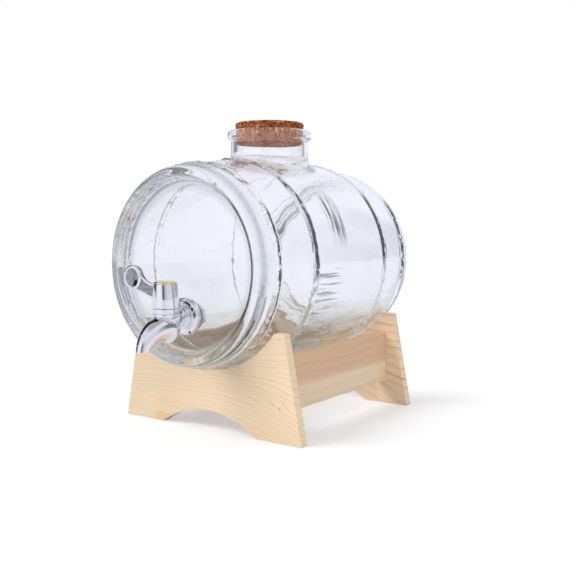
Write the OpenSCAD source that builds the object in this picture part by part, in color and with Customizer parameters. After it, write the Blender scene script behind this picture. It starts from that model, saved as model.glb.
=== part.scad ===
// Glass barrel drink dispenser on a wooden stand, with a lever tap low in its front head.
// The barrel lies along Y with its tap at the -Y end. The stand's feet are at Z = 0.

/* [Glass barrel] */
// Length of the glass over its two end rims
glass_len = 221; // [214:0.5:228]
// Radius of the glass halfway along its length
belly_r = 87; // [86:0.1:89]
// Radius of the glass at its end rims
rim_r = 77.3; // [76.8:0.1:78.2]
// Radius that rounds the end rims
rim_round = 3.5; // [2.5:0.1:4.5]
// Thickness of the glass side wall
glass_wall = 4.5; // [3.5:0.1:5.5]
// Thickness of the glass heads
head_wall = 5; // [4:0.1:6]
// Radius of the flat middle of each head
head_r = 65.5; // [63:0.5:67]
// Depth of the heads behind the end rims
head_recess = 5.5; // [4:0.1:7]
// Height of the barrel axis above the floor
axis_z = 131.9; // [130:0.1:136]
// Distance of the outer hoops from the middle of the barrel
outer_hoop_at = 96; // [94:0.5:98]
// Distance of the inner hoops from the middle of the barrel
inner_hoop_at = 53.5; // [46:0.5:58]
// Half of the width of a hoop
hoop_half_w = 3.5; // [2.5:0.1:4]
// Height of a hoop over the glass beside it
hoop_rise = 1.8; // [1:0.1:3]

/* [Neck and stopper] */
// Outer radius of the neck
neck_r = 33.3; // [32.6:0.1:34.5]
// Radius of the rolled lip
lip_r = 36.2; // [35.4:0.1:38]
// Height of the rolled lip
lip_h = 8; // [6:0.5:9]
// Height of the lip's top above the floor
neck_top_z = 244; // [240:0.5:250]
// Radius of the neck's bore at its narrow lower end
neck_bore_r = 28.55; // [27.5:0.05:29]
// Radius of the cork at its lower end
cork_low_r = 28.45; // [27.5:0.05:28.48]
// Growth of the cork's radius over each millimetre of height
cork_taper = 0.062; // [0.04:0.002:0.08]
// Depth of the cork below the lip's top
cork_inside = 11.5; // [9:0.5:18]
// Height of the cork above the lip's top
cork_above = 6.6; // [4:0.1:12]
// Bevel around the ends of the cork
cork_bevel = 0.8; // [0.4:0.1:1.5]

/* [Stand] */
// Width of an end board at the floor
board_low_w = 184; // [178:0.5:196]
// Width of an end board at its top
board_top_w = 152; // [148:0.5:158]
// Height of the end boards
board_h = 83; // [78:0.5:84]
// Thickness of the end boards
board_t = 8; // [7:0.1:8.4]
// Distance from the front board's face to the back board's front face
board_pitch = 168; // [166:0.5:168.5]
// Distance from the front board's face back to the middle of the barrel
barrel_back = 84; // [83.6:0.1:84.4]
// Width of the arch between the feet
arch_w = 98; // [80:1:110]
// Height of the arch between the feet
arch_h = 15; // [10:0.5:18]
// Distance of a rail's outer face in from the boards' slanting edge, halfway up the boards
rail_inset = 14.2; // [12:0.1:15.5]
// Thickness of the side rails
rail_t = 8; // [6:0.1:9]
// Gap between a rail's inner top edge and the glass above it
rail_gap = 5.7; // [4:0.1:8]
// Height of the side rails
rail_h = 44.4; // [40:0.2:46]
// Gap between the cradle and the glass that lies in it
cradle_gap = 0.3; // [0.2:0.05:0.6]
// Radius of a nail
nail_r = 0.9; // [0.7:0.05:1.2]
// Length of a nail
nail_len = 30; // [22:1:40]
// Distance of each nail from the nearer edge of the rail
nail_inset = 8; // [6:0.5:12]
// Clearance around a nail in its hole
nail_gap = 0.03; // [0.02:0.01:0.05]

/* [Tap fitting] */
// Distance of the tap below the barrel axis
tap_drop = 38.3; // [36:0.1:42]
// Radius of the hole for the tap in the front head
tap_hole_r = 6.6; // [6.4:0.05:7.2]
// Radius of the tap's shank
shank_r = 6; // [5.6:0.05:6.2]
// Radius of the bore through the shank
shank_bore_r = 3.5; // [3:0.05:3.8]
// Length of shank that shows behind the lock nut
shank_tail = 4; // [2:0.5:6]
// Radial gap between the shank and the rings on it
ring_gap = 0.1; // [0.05:0.01:0.2]
// Outer radius of the gaskets
gasket_r = 11.5; // [10.5:0.1:12.5]
// Thickness of the outer gasket
outer_gasket_t = 1.5; // [1:0.1:2]
// Thickness of the inner gasket
inner_gasket_t = 2; // [1.5:0.1:3]
// Outer radius of the metal washer
washer_r = 10.8; // [10.2:0.1:12]
// Thickness of the metal washer
washer_t = 1.2; // [1:0.1:1.6]
// Width of the lock nut across its flats
nut_flats = 17; // [16:0.1:19]
// Thickness of the lock nut
nut_t = 5; // [4:0.1:7]
// Radius of the domed escutcheon
escutcheon_r = 15; // [14:0.1:16]
// Thickness of the domed escutcheon
escutcheon_t = 5.6; // [5:0.1:6.4]
// Thickness of the escutcheon at its outer edge
escutcheon_edge = 2.5; // [1.8:0.1:3.2]

/* [Tap body] */
// Distance from the head's outer face to the axis of the handle
tower_reach = 24.2; // [23:0.1:27]
// Radius of the round shoulder in front of the escutcheon
shoulder_r = 9.5; // [8.8:0.1:10]
// Thickness of the round shoulder
shoulder_t = 2.6; // [2:0.1:3.2]
// Outer radius of the pipe where it leaves the shoulder
pipe_r = 6.8; // [6.4:0.1:7.4]
// Outer radius of the pipe at the elbow
elbow_r = 9.5; // [9:0.1:10.2]
// Distance of the elbow's middle below the shank's axis
elbow_drop = 4.2; // [3.6:0.1:4.8]
// Outer radius of the spout's end
spout_end_r = 5.5; // [5.2:0.1:6]
// Radius of the spout's bend, along its middle
spout_bend_r = 26; // [23:0.5:29]
// Angle that the spout's middle line turns through
spout_turn = 70; // [64:1:74]
// Radius of the spout's bore
spout_bore_r = 3.8; // [3.4:0.1:3.9]
// Radius of the straight mouth bored up into the spout's end
mouth_r = 4.4; // [4.2:0.05:4.6]
// Depth of the straight mouth
mouth_h = 5; // [4:0.5:6]
// Radius of the collar on top of the elbow
collar_r = 10; // [9.7:0.1:10.3]
// Height of the collar's underside above the shank's axis
collar_low = 2.4; // [1.8:0.1:3]
// Height of the collar's top above the shank's axis
collar_top = 4.5; // [4.2:0.1:4.9]
// Outer radius of the threaded boss that the bonnet ring screws on
boss_r = 8.6; // [8.2:0.05:8.9]
// Height of the boss's top above the shank's axis
boss_top = 6.6; // [6.3:0.05:6.9]

/* [Valve] */
// Radius of the valve plug
plug_r = 5.5; // [5:0.05:5.8]
// Running clearance around the valve plug and its stem
running_gap = 0.05; // [0.02:0.01:0.09]
// Depth of the valve chamber below the shank's axis
chamber_depth = 11; // [10.6:0.1:11.4]
// Radius of the port through the plug
port_r = 3.2; // [2.6:0.1:3.4]
// Distance of the port's middle below the shank's axis
port_drop = 2.4; // [2:0.1:2.8]
// Cord radius of the rings that seal the plug
o_ring_cord_r = 0.8; // [0.6:0.05:0.9]
// Distance from each end of the plug to the middle of its seal ring
seal_inset = 1.3; // [1.1:0.05:1.5]
// Radius of the plug's stem
stem_r = 4; // [3.8:0.05:4.2]
// Width of the stem's square drive
drive_w = 5.4; // [4.6:0.05:5.6]
// Height of the square drive
drive_h = 8.6; // [7:0.1:9.6]
// Thickness of the thrust washer over the plug's shoulder
thrust_t = 0.7; // [0.5:0.05:0.8]
// Distance of the bonnet ring's top above the shank's axis
bonnet_top = 8.4; // [7.6:0.1:9]
// Radius of the bonnet ring at its lower edge
bonnet_low_r = 10; // [9.7:0.1:10.3]
// Radius of the bonnet ring at its top
bonnet_top_r = 10.4; // [10.2:0.1:11]

/* [Handle] */
// Gap between the bonnet ring and the handle above it
handle_gap = 0.3; // [0.2:0.05:0.6]
// Height of the handle's hub
hub_h = 18; // [16.5:0.1:20]
// Radius of the hub at its base
hub_base_r = 10.5; // [10:0.1:11]
// Radius of the hub at its top
hub_top_r = 9.3; // [9:0.1:10]
// Distance from the hub's axis to the middle of the thumb paddle
paddle_reach = 33.8; // [30:0.2:38]
// Height of the paddle's middle above the hub's base
paddle_rise = 21.6; // [20:0.2:24]
// Radius of the thumb paddle
paddle_r = 9.4; // [8:0.1:10.5]
// Thickness of the thumb paddle
paddle_t = 5; // [4:0.1:6]
// Radius of the thumb recess in the paddle's front
thumb_r = 7.2; // [6:0.1:7.6]
// Depth of the thumb recess
thumb_depth = 1.6; // [1:0.1:2]
// Thickness of the lever's web
web_t = 2.6; // [2:0.1:3.4]
// Distance from the paddle's middle to the corner of the lever's hollow upper edge
hollow_reach = 11.5; // [9:0.1:14]
// Height of the web's lower edge at the hub, above the hub's base
web_low = 2.9; // [2:0.1:4]
// Height of the web's upper edge at the hub, below the hub's top
web_below_top = 1.2; // [0.8:0.1:2]
// Radius of the screw's shank
screw_r = 1.5; // [1.2:0.05:1.7]
// Radius of the screw's head
screw_head_r = 3.2; // [2.8:0.1:3.6]
// Height of the screw's head
screw_head_h = 2; // [1.6:0.1:2.4]
// Radius of the recess in the hub's top
hub_recess_r = 4.6; // [4.2:0.1:5]
// Radius of the gold cap on the hub
cap_r = 9; // [8:0.1:9]
// Height of the gold cap's dome
cap_h = 3; // [2:0.1:4]
// Clearance between the handle, the drive, the screw and the cap
assembly_gap = 0.06; // [0.04:0.01:0.1]

/* [Hidden] */

$fn = 96;
turned_sides = 128;
o_ring_sides = 32;
nail_sides = 24;
nut_sides = 6;
eps = 0.01;
cut = 1;

// Body of the glass
half_len = glass_len / 2;
belly_drop = belly_r - rim_r;
head_out = half_len - head_recess;
head_in = head_out - head_wall;
rim_crest_r = rim_r - rim_round;
head_slope_r = head_r + head_recess;
wall_steps = 12;
short_steps = 4;
hoop_steps = 6;
hoop_margin = 4;
corner_steps = 5;
inner_round = 9;

// Neck
neck_root_depth = 6;
neck_root_z = axis_z + belly_r - glass_wall - neck_root_depth;
lip_mid_z = neck_top_z - lip_h / 2;
lip_flat = 1;
lip_round = lip_h / 2 - lip_flat;
cork_bottom_z = neck_top_z - cork_inside;
cork_h = cork_inside + cork_above;
cork_top_r = cork_low_r + cork_taper * cork_h;
bore_top_r = neck_bore_r + cork_taper * cork_inside;

// Tap, measured from the shank's axis
tap_z = axis_z - tap_drop;
head_face_y = -head_out;
tower_y = head_face_y - tower_reach;
outer_stack = outer_gasket_t + escutcheon_t;
inner_stack = head_wall + inner_gasket_t + washer_t + nut_t;
neck_start = outer_stack + shoulder_t;
chamber_r = plug_r + running_gap;
plug_low = -chamber_depth + 2 * running_gap;
lip_under = boss_top + running_gap;
bonnet_low = collar_top + running_gap;
thrust_low = lip_under - running_gap - thrust_t;
plug_top = thrust_low - running_gap;
handle_z = bonnet_top + handle_gap;
hub_top_z = handle_z + hub_h;
stem_in_hub = 0.8;
socket_end_gap = 0.3;
screw_seat_t = 2.2;
screw_depth = 7;
drive_z = handle_z + stem_in_hub;
drive_top = drive_z + drive_h;
socket_top = drive_top + socket_end_gap;
recess_z = socket_top + screw_seat_t;
screw_top = recess_z + assembly_gap + screw_head_h;
spout_end_y = spout_bend_r * sin(spout_turn);
spout_end_z = -elbow_drop - spout_bend_r * (1 - cos(spout_turn));
sweep_sides = 28;
neck_steps = 6;
bend_steps = 12;
thumb_ball_r = (thumb_r * thumb_r + thumb_depth * thumb_depth) / (2 * thumb_depth);

// Outline of the lever's web: where it starts in the hub, as shares of the hub's top radius, where it
// meets the paddle, and how far its lower edge bulges, as shares of the way out and up to the paddle
web_root_share = 0.55;
web_rim_share = 0.9;
paddle_corner_angle = 47;
bulge_reach_share = 0.66;
bulge_rise_share = 0.76;
lever_steps = 10;

// Stand, measured from the middle of the barrel
front_face = -barrel_back;
back_face = board_pitch - barrel_back;
rail_out = (board_low_w + board_top_w) / 4 - rail_inset;
rail_mid = rail_out - rail_t / 2;
rail_in = rail_out - rail_t;
rail_z = axis_z - sqrt(belly_r * belly_r - rail_in * rail_in) - rail_gap - rail_h;

// The model's middle between the spout's end and the back rim goes to Y = 0
front_reach = head_out + tower_reach + spout_end_y + spout_end_r;
back_reach = half_len;
centre_shift = (front_reach - back_reach) / 2;

// Radius of the glass at a distance along its axis from the middle, without and with the hoops
function belly_at(s) = belly_r - belly_drop * pow(s / half_len, 2);
function hoop_bump(s, at) = max(0, 1 - pow((abs(s) - at) / hoop_half_w, 2)) * hoop_rise;
function glass_at(s) = belly_at(s) + max(hoop_bump(s, outer_hoop_at), hoop_bump(s, inner_hoop_at));

// Points of the glass's outer and inner outlines between two distances
function wall_points(from, to, steps) =
    [for (i = [0 : steps]) let (s = from + (to - from) * i / steps) [glass_at(s), s]];
function inner_points(from, to, steps) =
    [for (i = [0 : steps]) let (s = from + (to - from) * i / steps) [belly_at(s) - glass_wall, s]];

// Smooth step from 0 to 1
function ease(t) = t * t * (3 - 2 * t);

// Each ring of a bent pipe is [y, z, tilt, radius], with tilt 0 facing -Y and 90 facing down
function neck_rings() = [
    for (i = [0 : neck_steps - 1])
        let (t = i / neck_steps)
        [
            -(neck_start - eps) - (tower_reach - neck_start) * t,
            -elbow_drop * ease(t), 0,
            pipe_r + (elbow_r - pipe_r) * ease(t)
        ]
];
function bend_rings(start_r, end_r) = [
    for (i = [0 : bend_steps])
        let (t = i / bend_steps, a = spout_turn * t)
        [
            -tower_reach - spout_bend_r * sin(a), -elbow_drop - spout_bend_r * (1 - cos(a)),
            90 * t, start_r + (end_r - start_r) * t
        ]
];
function ring_points(ring) = [
    for (i = [0 : sweep_sides - 1])
        let (a = 360 * i / sweep_sides)
        [
            ring[3] * cos(a), ring[0] - ring[3] * sin(a) * sin(ring[2]),
            ring[1] + ring[3] * sin(a) * cos(ring[2])
        ]
];

// Solid through a list of rings, made of triangles
module pipe(rings) {
    n = sweep_sides;
    m = len(rings);
    points = [for (ring = rings) each ring_points(ring)];
    sides = [
        for (j = [0 : m - 2], i = [0 : n - 1])
            let (a = j * n + i, b = j * n + (i + 1) % n)
            each [[a, b + n, b], [a, a + n, b + n]]
    ];
    caps = [[for (i = [0 : n - 1]) i], [for (i = [0 : n - 1]) m * n - 1 - i]];
    polyhedron(points, concat(sides, caps), convexity = 6);
}

// Turns a profile of [radius, distance] around the barrel's axis
module around_barrel() {
    rotate([-90, 0, 0]) rotate_extrude($fn = turned_sides) children();
}

module barrel_frame() {
    translate([0, centre_shift, axis_z]) children();
}

module tap_frame() {
    translate([0, centre_shift + head_face_y, tap_z]) children();
}

module tower_frame() {
    translate([0, centre_shift + tower_y, tap_z]) children();
}

// Ring around the shank, from one distance in front of the head's face to another
module shank_ring(from, to, outer, inner) {
    translate([0, -from, 0]) rotate([90, 0, 0]) difference() {
        cylinder(h = to - from, r = outer);
        translate([0, 0, -cut]) cylinder(h = to - from + 2 * cut, r = inner);
    }
}

module glass_outline() {
    edge = half_len - rim_round;
    outer_near = outer_hoop_at - hoop_half_w - hoop_margin;
    inner_far = inner_hoop_at + hoop_half_w + hoop_margin;
    inner_near = inner_hoop_at - hoop_half_w - hoop_margin;
    polygon(concat(
        [[0, -head_out], [head_r, -head_out], [head_slope_r, -half_len]],
        [for (i = [0 : corner_steps]) let (a = -90 + 90 * i / corner_steps)
            [rim_crest_r + rim_round * cos(a), -edge + rim_round * sin(a)]],
        wall_points(-outer_hoop_at - hoop_half_w, -outer_hoop_at + hoop_half_w, hoop_steps),
        wall_points(-outer_near, -inner_far, short_steps),
        wall_points(-inner_hoop_at - hoop_half_w, -inner_hoop_at + hoop_half_w, hoop_steps),
        wall_points(-inner_near, inner_near, wall_steps),
        wall_points(inner_hoop_at - hoop_half_w, inner_hoop_at + hoop_half_w, hoop_steps),
        wall_points(inner_far, outer_near, short_steps),
        wall_points(outer_hoop_at - hoop_half_w, outer_hoop_at + hoop_half_w, hoop_steps),
        [for (i = [0 : corner_steps]) let (a = 90 * i / corner_steps)
            [rim_crest_r + rim_round * cos(a), edge + rim_round * sin(a)]],
        [[head_slope_r, half_len], [head_r, head_out], [0, head_out]]
    ));
}

module glass_inside() {
    edge = head_in - inner_round;
    corner_r = belly_at(edge) - glass_wall - inner_round;
    polygon(concat(
        [[0, -head_in]],
        [for (i = [0 : corner_steps - 1]) let (a = -90 + 90 * i / corner_steps)
            [corner_r + inner_round * cos(a), -edge + inner_round * sin(a)]],
        inner_points(-edge, edge, 2 * wall_steps),
        [for (i = [1 : corner_steps]) let (a = 90 * i / corner_steps)
            [corner_r + inner_round * cos(a), edge + inner_round * sin(a)]],
        [[0, head_in]]
    ));
}

// Outside of the neck with its rolled lip, as [radius, height] points
module neck_outline() {
    polygon(concat(
        [[0, neck_root_z], [neck_r, neck_root_z], [neck_r, neck_top_z - lip_h]],
        [for (i = [0 : corner_steps]) let (a = -90 + 90 * i / corner_steps)
            [lip_r - lip_round + lip_round * cos(a), lip_mid_z - lip_flat + lip_round * sin(a)]],
        [for (i = [0 : corner_steps]) let (a = 90 * i / corner_steps)
            [lip_r - lip_round + lip_round * cos(a), lip_mid_z + lip_flat + lip_round * sin(a)]],
        [[0, neck_top_z]]
    ));
}

module glass_barrel() {
    color("aliceblue") difference() {
        union() {
            barrel_frame() around_barrel() glass_outline();
            translate([0, centre_shift, 0]) rotate_extrude() neck_outline();
        }
        barrel_frame() around_barrel() glass_inside();
        translate([0, centre_shift, axis_z]) cylinder(h = neck_top_z, r = neck_bore_r);
        translate([0, centre_shift, cork_bottom_z])
            cylinder(h = cork_inside + eps, r1 = neck_bore_r, r2 = bore_top_r + cork_taper * eps);
        tap_frame() rotate([-90, 0, 0]) translate([0, 0, -cut])
            cylinder(h = head_wall + 2 * cut, r = tap_hole_r);
    }
}

module cork_stopper() {
    color("peru") translate([0, centre_shift, cork_bottom_z]) rotate_extrude() polygon([
        [0, 0],
        [cork_low_r - cork_bevel, 0],
        [cork_low_r + cork_taper * cork_bevel, cork_bevel],
        [cork_top_r - cork_taper * cork_bevel, cork_h - cork_bevel],
        [cork_top_r - cork_bevel, cork_h],
        [0, cork_h]
    ]);
}

module tap_body() {
    shank_end = inner_stack + shank_tail;
    color("silver") tap_frame() difference() {
        union() {
            translate([0, shank_end, 0]) rotate([90, 0, 0])
                cylinder(h = shank_end + outer_stack + eps, r = shank_r);
            translate([0, -outer_stack, 0]) rotate([90, 0, 0]) shoulder();
            difference() {
                pipe(concat(neck_rings(), bend_rings(elbow_r, spout_end_r)));
                translate([0, -tower_reach, collar_top])
                    cylinder(h = elbow_r, r = bonnet_top_r + ring_gap);
            }
            translate([0, -tower_reach, collar_low])
                cylinder(h = collar_top - collar_low, r = collar_r);
            translate([0, -tower_reach, -elbow_drop])
                cylinder(h = elbow_drop + boss_top, r = boss_r);
        }
        translate([0, shank_end + cut, 0]) rotate([90, 0, 0])
            cylinder(h = shank_end + cut + tower_reach, r = shank_bore_r);
        pipe(bend_rings(spout_bore_r, spout_bore_r));
        translate([0, -tower_reach, -chamber_depth])
            cylinder(h = chamber_depth + boss_top + cut, r = chamber_r);
        translate([0, -tower_reach - spout_end_y, spout_end_z - cut])
            cylinder(h = mouth_h + cut, r = mouth_r);
    }
}

// Round bead between the escutcheon and the pipe
module shoulder() {
    bead = shoulder_t / 2;
    rotate_extrude() polygon(concat(
        [[0, 0]],
        [for (i = [0 : 2 * corner_steps]) let (a = -90 + 90 * i / corner_steps)
            [shoulder_r - bead + bead * cos(a), bead + bead * sin(a)]],
        [[0, shoulder_t]]
    ));
}

// Domed plate with a thin rim, opening towards the glass
module escutcheon() {
    chamfer = 0.8;
    flat_r = shoulder_r + chamfer / 2;
    color("silver") tap_frame() translate([0, -outer_gasket_t, 0]) rotate([90, 0, 0])
        rotate_extrude() polygon(concat(
            [[shank_r + ring_gap, 0], [escutcheon_r - chamfer, 0], [escutcheon_r, chamfer]],
            [for (i = [0 : 2 * corner_steps]) let (a = 90 * i / (2 * corner_steps))
                [
                    flat_r + (escutcheon_r - flat_r) * cos(a),
                    escutcheon_edge + (escutcheon_t - escutcheon_edge) * sin(a)
                ]],
            [[shank_r + ring_gap, escutcheon_t]]
        ));
}

module outer_gasket() {
    color("whitesmoke") tap_frame()
        shank_ring(0, outer_gasket_t, gasket_r, shank_r + ring_gap);
}

module inner_gasket() {
    color("whitesmoke") tap_frame()
        shank_ring(-head_wall - inner_gasket_t, -head_wall, gasket_r, shank_r + ring_gap);
}

module inner_washer() {
    near = -head_wall - inner_gasket_t;
    color("gainsboro") tap_frame()
        shank_ring(near - washer_t, near, washer_r, shank_r + ring_gap);
}

module lock_nut() {
    color("silver") tap_frame() translate([0, inner_stack, 0]) rotate([90, 0, 0]) difference() {
        cylinder(h = nut_t, r = nut_flats / sqrt(3), $fn = nut_sides);
        translate([0, 0, -cut]) cylinder(h = nut_t + 2 * cut, r = shank_r + ring_gap);
    }
}

module bonnet_ring() {
    color("silver") tower_frame() difference() {
        translate([0, 0, bonnet_low])
            cylinder(h = bonnet_top - bonnet_low, r1 = bonnet_low_r, r2 = bonnet_top_r);
        translate([0, 0, bonnet_low - cut])
            cylinder(h = lip_under - bonnet_low + cut, r = boss_r + running_gap);
        translate([0, 0, bonnet_low]) cylinder(h = bonnet_top, r = stem_r + running_gap);
    }
}

module thrust_washer() {
    color("ivory") tower_frame() translate([0, 0, thrust_low]) difference() {
        cylinder(h = thrust_t, r = plug_r - running_gap);
        translate([0, 0, -cut]) cylinder(h = thrust_t + 2 * cut, r = stem_r + running_gap);
    }
}

module valve_plug() {
    groove_floor = plug_r - 2 * o_ring_cord_r - running_gap;
    color("gainsboro") tower_frame() difference() {
        union() {
            translate([0, 0, plug_low]) cylinder(h = plug_top - plug_low, r = plug_r);
            translate([0, 0, plug_top - eps]) cylinder(h = drive_z - plug_top + eps, r = stem_r);
            translate([-drive_w / 2, -drive_w / 2, drive_z - eps])
                cube([drive_w, drive_w, drive_h + eps]);
        }
        translate([0, 0, -port_drop]) rotate([0, 90, 0])
            cylinder(h = 2 * (plug_r + cut), r = port_r, center = true);
        for (z = seal_heights()) translate([0, 0, z]) rotate_extrude()
            translate([groove_floor, -o_ring_cord_r - running_gap])
                square([plug_r + cut - groove_floor, 2 * (o_ring_cord_r + running_gap)]);
        translate([0, 0, drive_top - screw_depth])
            cylinder(h = screw_depth + cut, r = screw_r + assembly_gap);
    }
}

function seal_heights() = [plug_low + seal_inset, plug_top - seal_inset];

module plug_seal_rings() {
    color("dimgray") tower_frame() for (z = seal_heights()) translate([0, 0, z])
        rotate_extrude() translate([plug_r - o_ring_cord_r, 0]) circle(r = o_ring_cord_r, $fn = o_ring_sides);
}

// Point at share t of a curve from a to c that bends towards b
function bend_point(a, b, c, t) = (1 - t) * (1 - t) * a + 2 * t * (1 - t) * b + t * t * c;

// Web of the lever seen from the front, from inside the hub out to the paddle's middle
module lever_outline() {
    root_x = -hub_top_r * web_root_share;
    rim_x = -hub_top_r * web_rim_share;
    web_top = hub_h - web_below_top;
    corner = [-paddle_reach + hollow_reach, web_top];
    paddle_top = [
        -paddle_reach + paddle_r * cos(paddle_corner_angle),
        paddle_rise + paddle_r * sin(paddle_corner_angle)
    ];
    paddle_low = [-paddle_reach, paddle_rise - paddle_r];
    bulge = [
        -paddle_reach * bulge_reach_share,
        web_low + (paddle_low[1] - web_low) * bulge_rise_share
    ];
    polygon(concat(
        [[root_x, web_low], [root_x, web_top]],
        [for (i = [0 : lever_steps])
            bend_point([rim_x, web_top], corner, paddle_top, i / lever_steps)],
        [[-paddle_reach, paddle_rise]],
        [for (i = [0 : lever_steps])
            bend_point(paddle_low, bulge, [root_x, web_low], i / lever_steps)]
    ));
}

module tap_handle() {
    socket = drive_w + 2 * assembly_gap;
    color("silver") tower_frame() translate([0, 0, handle_z]) difference() {
        union() {
            cylinder(h = hub_h, r1 = hub_base_r, r2 = hub_top_r);
            rotate([90, 0, 0]) linear_extrude(web_t, center = true) lever_outline();
            translate([-paddle_reach, 0, paddle_rise]) rotate([90, 0, 0])
                cylinder(h = paddle_t, r = paddle_r, center = true);
        }
        translate([-paddle_reach, -paddle_t / 2 - thumb_ball_r + thumb_depth, paddle_rise])
            sphere(r = thumb_ball_r);
        translate([0, 0, -cut])
            cylinder(h = drive_z - handle_z + cut + assembly_gap, r = stem_r + running_gap);
        translate([-socket / 2, -socket / 2, 0]) cube([socket, socket, socket_top - handle_z]);
        cylinder(h = hub_h, r = screw_r + assembly_gap);
        translate([0, 0, recess_z - handle_z]) cylinder(h = hub_h, r = hub_recess_r);
    }
}

module handle_screw() {
    low = drive_top - screw_depth + assembly_gap;
    color("gainsboro") tower_frame() {
        translate([0, 0, low]) cylinder(h = recess_z - low + assembly_gap, r = screw_r);
        translate([0, 0, recess_z + assembly_gap]) cylinder(h = screw_head_h, r = screw_head_r);
    }
}

module handle_cap() {
    stem_low = screw_top + 2 * assembly_gap;
    ball_r = (cap_r * cap_r + cap_h * cap_h) / (2 * cap_h);
    color("gold") tower_frame() {
        translate([0, 0, stem_low])
            cylinder(h = hub_top_z - stem_low + assembly_gap + eps, r = hub_recess_r - assembly_gap);
        translate([0, 0, hub_top_z + assembly_gap]) rotate_extrude() polygon(concat(
            [[0, 0]],
            [for (i = [0 : 2 * corner_steps])
                let (a = asin(cap_r / ball_r) * (1 - i / (2 * corner_steps)))
                [ball_r * sin(a), cap_h - ball_r + ball_r * cos(a)]]
        ));
    }
}

// End board with its front face at the given distance from the middle of the barrel
module end_board(face, inner_face) {
    cradle_r = belly_at(inner_face) + cradle_gap;
    arch_r = (arch_w * arch_w / 4 + arch_h * arch_h) / (2 * arch_h);
    translate([0, centre_shift + face + board_t, 0]) rotate([90, 0, 0]) difference() {
        linear_extrude(board_t) difference() {
            polygon([
                [-board_low_w / 2, 0], [board_low_w / 2, 0],
                [board_top_w / 2, board_h], [-board_top_w / 2, board_h]
            ]);
            translate([0, axis_z]) circle(r = cradle_r, $fn = turned_sides);
            translate([0, arch_h - arch_r]) circle(r = arch_r, $fn = turned_sides);
        }
        for (p = nail_places()) translate([p[0], p[1], -cut])
            cylinder(h = board_t + 2 * cut, r = nail_r + nail_gap, $fn = nail_sides);
    }
}

function nail_places() = [
    for (x = [-rail_mid, rail_mid], z = [rail_z + nail_inset, rail_z + rail_h - nail_inset]) [x, z]
];

// Row of nails driven through a board into the rails' ends, from a face in a direction along Y
module nail_set(face, direction) {
    for (p = nail_places()) translate([p[0], centre_shift + face, p[1]])
        rotate([-90 * direction, 0, 0]) cylinder(h = nail_len, r = nail_r, $fn = nail_sides);
}

module side_rail(side) {
    near = front_face + board_t;
    span = board_pitch - board_t;
    difference() {
        translate([side * rail_mid - rail_t / 2, centre_shift + near, rail_z])
            cube([rail_t, span, rail_h]);
        for (p = nail_places()) translate([p[0], centre_shift + near, p[1]]) {
            rotate([-90, 0, 0]) translate([0, 0, -cut])
                cylinder(h = nail_len - board_t + cut + nail_gap, r = nail_r + nail_gap, $fn = nail_sides);
            translate([0, span, 0]) rotate([90, 0, 0]) translate([0, 0, -cut])
                cylinder(h = nail_len - board_t + cut + nail_gap, r = nail_r + nail_gap, $fn = nail_sides);
        }
    }
}

module front_board() {
    color("burlywood") end_board(front_face, front_face + board_t);
}

module back_board() {
    color("burlywood") end_board(back_face, back_face);
}

module left_rail() {
    color("tan") side_rail(-1);
}

module right_rail() {
    color("tan") side_rail(1);
}

module front_nails() {
    color("gray") nail_set(front_face, 1);
}

module back_nails() {
    color("gray") nail_set(back_face + board_t, -1);
}

glass_barrel();
cork_stopper();
tap_body();
escutcheon();
outer_gasket();
inner_gasket();
inner_washer();
lock_nut();
bonnet_ring();
thrust_washer();
valve_plug();
plug_seal_rings();
tap_handle();
handle_screw();
handle_cap();
front_board();
back_board();
left_rail();
right_rail();
front_nails();
back_nails();
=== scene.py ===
import math

import bmesh
import bpy
from mathutils import Matrix, Vector, noise


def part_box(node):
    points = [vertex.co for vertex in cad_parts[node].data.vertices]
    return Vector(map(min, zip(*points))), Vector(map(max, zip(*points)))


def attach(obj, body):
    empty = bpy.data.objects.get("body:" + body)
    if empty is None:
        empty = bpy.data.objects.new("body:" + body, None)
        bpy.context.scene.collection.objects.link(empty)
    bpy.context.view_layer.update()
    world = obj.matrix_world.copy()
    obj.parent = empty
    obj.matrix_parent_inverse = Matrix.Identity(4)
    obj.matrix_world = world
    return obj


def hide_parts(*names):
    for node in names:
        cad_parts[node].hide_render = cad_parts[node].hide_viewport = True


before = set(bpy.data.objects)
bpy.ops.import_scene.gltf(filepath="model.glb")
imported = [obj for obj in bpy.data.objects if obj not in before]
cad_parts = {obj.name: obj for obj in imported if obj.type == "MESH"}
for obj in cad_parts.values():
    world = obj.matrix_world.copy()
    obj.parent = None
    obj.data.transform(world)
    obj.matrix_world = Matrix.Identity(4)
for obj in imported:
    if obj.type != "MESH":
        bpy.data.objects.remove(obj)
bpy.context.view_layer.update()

# Shapes are worked out in millimetres, in the part's own frame, and scaled to metres at the end
MM = 0.001
# A shape made round Z is laid with its top towards the back of the barrel, or out of the head at the tap
ALONG_Y = Matrix.Rotation(-math.pi / 2, 4, "X")
OUT_OF_HEAD = Matrix.Rotation(math.pi / 2, 4, "X")
# A turned shape is made of equal wedges, and points closer together than MERGE become one
WEDGES = 12
MERGE = 0.002

# Glass barrel: s is the place along it from its middle, less than 0 towards the tap
HALF_LEN = 110.5
FRONT_LEN = 114.5
BARREL_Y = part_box("glass_barrel")[1].y / MM - HALF_LEN
AXIS_Z = 131.9
BELLY_R = 87.0
CROWN_Z = AXIS_Z + BELLY_R
RIM_R = 77.3
HEAD_S = 105.0
HEAD_WALL = 5.0
SIDE_WALL = 4.5
HOOPS = (-96.0, -53.5, 53.5, 96.0)
HOOP_HALF = 3.9
HOOP_RISE = 1.9
DIMPLE = 6.2

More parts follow.
